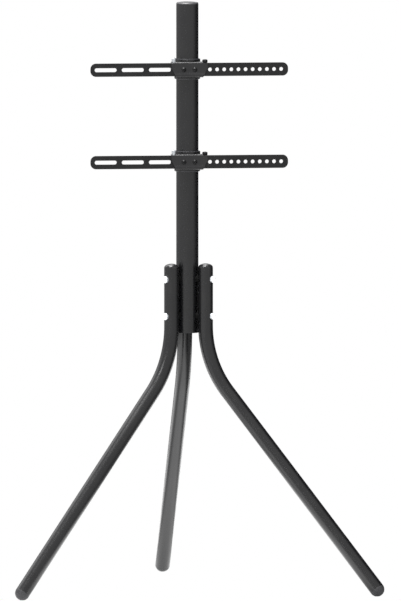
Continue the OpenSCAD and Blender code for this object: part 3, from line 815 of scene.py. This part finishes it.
toward = math_node(room, "MULTIPLY", parts.outputs["Y"], -1.0)
azimuth = math_node(room, "ARCTAN2", parts.outputs["X"], toward)


def sky_ramp(value, low, high, stops):
    """A grey that follows a list of (value, brightness) stops."""
    top = max(grey for _, grey in stops)
    share = add_node(room, "ShaderNodeMapRange", {"Value": value, "From Min": low, "From Max": high})
    ramp = add_node(room, "ShaderNodeValToRGB", {"Fac": share.outputs["Result"]})
    marks = ramp.color_ramp.elements
    for _ in stops[2:]:
        marks.new(0.5)
    for mark, (place, grey) in zip(marks, stops):
        mark.position = (place - low) / (high - low)
        mark.color = (grey / top, grey / top, grey / top, 1)
    return math_node(room, "MULTIPLY", ramp.outputs["Color"], top)


def sky_lamp(x, y, z, half_wide, half_tall, strength):
    """A soft-edged lamp in the sky: a direction to the right, away and up, and half sizes in degrees."""
    aim = Vector((x, y, z)).normalized()
    side = aim.cross(Vector((0, 0, 1))).normalized()
    rise = side.cross(aim)
    fade = None
    for axis_way, half in ((side, half_wide), (rise, half_tall)):
        part = add_node(room, "ShaderNodeVectorMath", {0: turned_way, 1: tuple(axis_way)},
                        operation="DOT_PRODUCT").outputs["Value"]
        edge = math.sin(math.radians(half))
        inside = add_node(room, "ShaderNodeMapRange", {
            "Value": math_node(room, "ABSOLUTE", part), "From Min": edge * 1.25, "From Max": edge * 0.75},
            interpolation_type="SMOOTHSTEP").outputs["Result"]
        fade = inside if fade is None else math_node(room, "MULTIPLY", fade, inside)
    ahead = add_node(room, "ShaderNodeVectorMath", {0: turned_way, 1: tuple(aim)},
                     operation="DOT_PRODUCT").outputs["Value"]
    fade = math_node(room, "MULTIPLY", fade, math_node(room, "GREATER_THAN", ahead, 0.0))
    return math_node(room, "MULTIPLY", fade, strength)


# %% The room, as the gloss sees it
WALLS = [(-180, 0.05), (-160, 0.12), (-142, 0.4), (-112, 0.7), (-90, 0.95), (-60, 1.0), (60, 0.9),
         (84, 0.42), (100, 0.05), (180, 0.03)]
BEHIND_RISE = [(0.0, 0.0), (0.2, 0.1), (0.36, 0.35), (0.5, 1.1), (1.0, 1.3)]
LEFT_RISE = [(0.0, 0.0), (0.12, 0.1), (0.3, 0.35), (0.66, 1.0), (1.0, 1.0)]
walls = sky_ramp(math_node(room, "DEGREES", azimuth), -180, 180, WALLS)


def sky_side(socket, start, end):
    """A soft step from 0 to 1 along one axis of the sky."""
    return add_node(room, "ShaderNodeMapRange", {
        "Value": parts.outputs[socket], "From Min": start, "From Max": end}).outputs["Result"]


away = sky_side("Y", 0.0, 0.3)
behind = math_node(room, "MULTIPLY", away, sky_side("X", 0.4, 0.15))
to_left = sky_side("X", -0.3, -0.55)
rise = sky_ramp(parts.outputs["Z"], 0, 1, BEHIND_RISE)
left_rise = math_node(room, "MULTIPLY", to_left, sky_ramp(parts.outputs["Z"], 0, 1, LEFT_RISE))
glow = math_node(room, "ADD", walls, math_node(room, "MULTIPLY", behind, rise))
glow = math_node(room, "ADD", glow, math_node(room, "MULTIPLY", away, left_rise))
SKY_LAMPS = [(-0.15, 0.5, 0.85, 15, 12, 5.0), (-0.43, -0.66, 0.61, 6, 6, 11.0)]
for lamp in SKY_LAMPS:
    glow = math_node(room, "ADD", glow, sky_lamp(*lamp))
seen = add_node(room, "ShaderNodeLightPath")
glossy = add_node(room, "ShaderNodeBackground", {"Color": (1, 1, 1, 1), "Strength": glow})
DAYLIGHT = 2.6
to_lens = math_node(room, "MULTIPLY", seen.outputs["Is Camera Ray"], DAYLIGHT - 1)
plain = add_node(room, "ShaderNodeBackground", {
    "Color": (1, 1, 1, 1), "Strength": math_node(room, "SUBTRACT", DAYLIGHT, to_lens)})
mixed = add_node(room, "ShaderNodeMixShader", {
    0: seen.outputs["Is Glossy Ray"], 1: plain.outputs["Background"], 2: glossy.outputs["Background"]})
add_node(room, "ShaderNodeOutputWorld", {"Surface": mixed.outputs["Shader"]})
world.cycles.sampling_method = "NONE"
bpy.context.scene.view_settings.view_transform = "Standard"
print("the room has", len(WALLS), "stops round it and", len(SKY_LAMPS), "lamps")

# %% The floor's white paper
# The paper is matt white. For the gloss its material glows with painted light, though it is no lamp:
# a painted pool of light under the column, drawn out from front to back; a painted ring that grows
# lighter away from the stand; and a painted flag shadow that keeps the ring dark at the front and on the
# right.
POOL_CENTRE = (0.0, -0.10, 0)
POOL_STRETCH = (1, 0.45, 1)
RING_CENTRE = (0.0, 0.1, 0)
PAINTED_SHADOW_SLOPE = 0.45
paper_with_painted_glow = finish("matt_white_paper", "#f7f7f7", "#fafafa", (0.85, 0.9), 300, 3, 0.02)
sheet_tree = paper_with_painted_glow.node_tree
place = add_node(sheet_tree, "ShaderNodeTexCoord").outputs["Object"]


def how_far(point, centre):
    """The distance from a point of the floor to a centre."""
    return add_node(sheet_tree, "ShaderNodeVectorMath", {0: point, 1: centre},
                    operation="DISTANCE").outputs["Value"]


def fade(value, start, end, at_start, at_end):
    """A soft step from one level to another."""
    return add_node(sheet_tree, "ShaderNodeMapRange", {
        "Value": value, "From Min": start, "From Max": end, "To Min": at_start, "To Max": at_end},
        interpolation_type="SMOOTHSTEP").outputs["Result"]


drawn_in = add_node(sheet_tree, "ShaderNodeVectorMath", {0: place, 1: POOL_STRETCH},
                    operation="MULTIPLY").outputs["Vector"]
# The pool and the ring are painted light, and the flag's edge is a painted shadow: no lamp or flag stands
# there.
painted_pool = fade(how_far(drawn_in, POOL_CENTRE), start=0.15, end=0.50, at_start=2.9, at_end=0.0)
ring = fade(how_far(place, RING_CENTRE), start=0.35, end=0.8, at_start=0.9, at_end=2.6)
spot = add_node(sheet_tree, "ShaderNodeSeparateXYZ", {"Vector": place})
past_painted_shadow_edge = math_node(sheet_tree, "SUBTRACT", spot.outputs["Y"],
                      math_node(sheet_tree, "MULTIPLY", spot.outputs["X"], PAINTED_SHADOW_SLOPE))
outside_painted_shadow = math_node(sheet_tree, "MAXIMUM", fade(past_painted_shadow_edge, 0.0, 0.15, 0.2, 1.0),
                      fade(spot.outputs["X"], -0.1, 0.15, 1.0, 0.2))
painted_pool = math_node(sheet_tree, "MAXIMUM", painted_pool, math_node(sheet_tree, "MULTIPLY", ring, outside_painted_shadow))
# Painted glow: the floor emits the painted pool, ring and shadow, for the gloss alone.
lit = add_node(sheet_tree, "ShaderNodeEmission", {"Color": (1, 1, 1, 1), "Strength": painted_pool})
matt = next(n for n in sheet_tree.nodes if n.type == "BSDF_PRINCIPLED").outputs["BSDF"]
ray = add_node(sheet_tree, "ShaderNodeLightPath")
gloss_mix = add_node(sheet_tree, "ShaderNodeMixShader", {
    0: ray.outputs["Is Glossy Ray"], 1: matt, 2: lit.outputs["Emission"]})
white = add_node(sheet_tree, "ShaderNodeEmission", {"Color": (1, 1, 1, 1), "Strength": 1.0})
sheet_mix = add_node(sheet_tree, "ShaderNodeMixShader", {
    0: ray.outputs["Is Camera Ray"], 1: gloss_mix.outputs["Shader"], 2: white.outputs["Emission"]})
end = next(n for n in sheet_tree.nodes if n.type == "OUTPUT_MATERIAL")
sheet_tree.links.new(sheet_mix.outputs["Shader"], end.inputs["Surface"])

# %% Floor and soft box
FLOOR_HALF = 2.2
BOX_WIDE, BOX_DEEP, BOX_WATTS = 1.1, 0.9, 70
BOX_PLACE, BOX_AIM = (-0.35, -0.55, 2.6), (0, 0, 0.2)
corners = [(sx * FLOOR_HALF, sy * FLOOR_HALF, 0) for sx, sy in ((-1, -1), (1, -1), (1, 1), (-1, 1))]
floor_mesh = bpy.data.meshes.new("studio_floor")
floor_mesh.from_pydata(corners, [], [(0, 1, 2, 3)])
floor_mesh.materials.append(paper_with_painted_glow)
floor = new_object("studio_floor", floor_mesh)
lamp = bpy.data.lights.new("overhead_soft_box", "AREA")
lamp.shape, lamp.size, lamp.size_y = "RECTANGLE", BOX_WIDE, BOX_DEEP
lamp.energy = BOX_WATTS
box_light = bpy.data.objects.new("overhead_soft_box", lamp)
bpy.context.scene.collection.objects.link(box_light)
box_light.location = BOX_PLACE
box_light.rotation_euler = (Vector(BOX_AIM) - box_light.location).to_track_quat("-Z", "Y").to_euler()
print("floor and soft box are up")

# %% [markdown]
# ## The camera
# The stand is seen from a little above the height of its middle and slightly from its left, through a
# long lens from far away, which keeps upright tubes upright.

# %% The camera
CAMERA_ELEVATION = math.radians(4.17)
LENS, SENSOR = 1100, 36
VIEW_HEIGHT = 1.3009
target = Vector((0.0287, -0.1111, 0.6270))
distance = VIEW_HEIGHT * LENS / SENSOR
back = Vector((math.sin(CAMERA_AZIMUTH) * math.cos(CAMERA_ELEVATION),
               -math.cos(CAMERA_AZIMUTH) * math.cos(CAMERA_ELEVATION), math.sin(CAMERA_ELEVATION)))
lens = bpy.data.cameras.new("studio_camera")
lens.lens, lens.sensor_width, lens.clip_end = LENS, SENSOR, 100
camera = bpy.data.objects.new("studio_camera", lens)
bpy.context.scene.collection.objects.link(camera)
camera.location = target + back * distance
camera.rotation_euler = (-back).to_track_quat("-Z", "Y").to_euler()
bpy.context.scene.camera = camera
print(f"camera {distance:.2f} m away")
